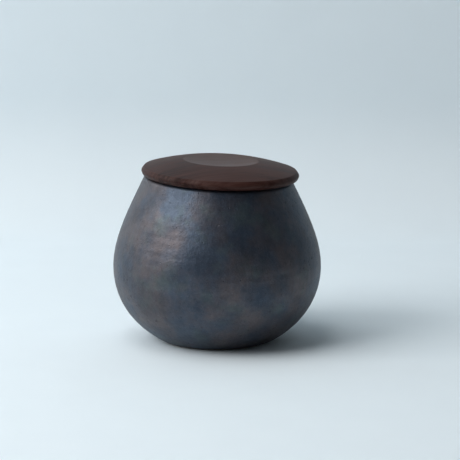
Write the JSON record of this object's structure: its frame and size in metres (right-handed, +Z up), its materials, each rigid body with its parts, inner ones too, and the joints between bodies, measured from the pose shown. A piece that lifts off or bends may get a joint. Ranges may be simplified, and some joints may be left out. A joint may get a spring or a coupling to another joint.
{
  "type": "onggi jar",
  "caption": "Small round-bellied stoneware onggi jar with a turned wooden plug lid that lifts off and turns on a silicone seal ring.",
  "frame": {"origin": "middle of the foot's face, on the table, under the middle of the belly", "axes": "+Z up, +X to the right in the picture, towards which the mouth leans, +Y away from the viewer"},
  "size_m": [0.11, 0.11, 0.0966],
  "materials": {
    "glaze": "matt blue-grey and charcoal glaze with a soft metallic sheen",
    "seal": "translucent pale silicone",
    "lid_wood": "dark red-brown turned wood, satin oiled"
  },
  "bodies": {
    "jar": {"jar_body": "glaze"},
    "seal": {"seal_ring": "seal"},
    "lid": {"lid": "lid_wood"}
  },
  "joints": [
    {"name": "lid_lift", "type": "slide", "parent": "jar", "child": "seal", "axis": [0.0401, 0, 0.9992], "range_m": [0, 0.06]},
    {"name": "lid_turn", "type": "hinge", "parent": "seal", "child": "lid", "pos_m": [0.0016, 0, 0.0863], "axis": [0.0401, 0, 0.9992], "continuous": true}
  ]
}
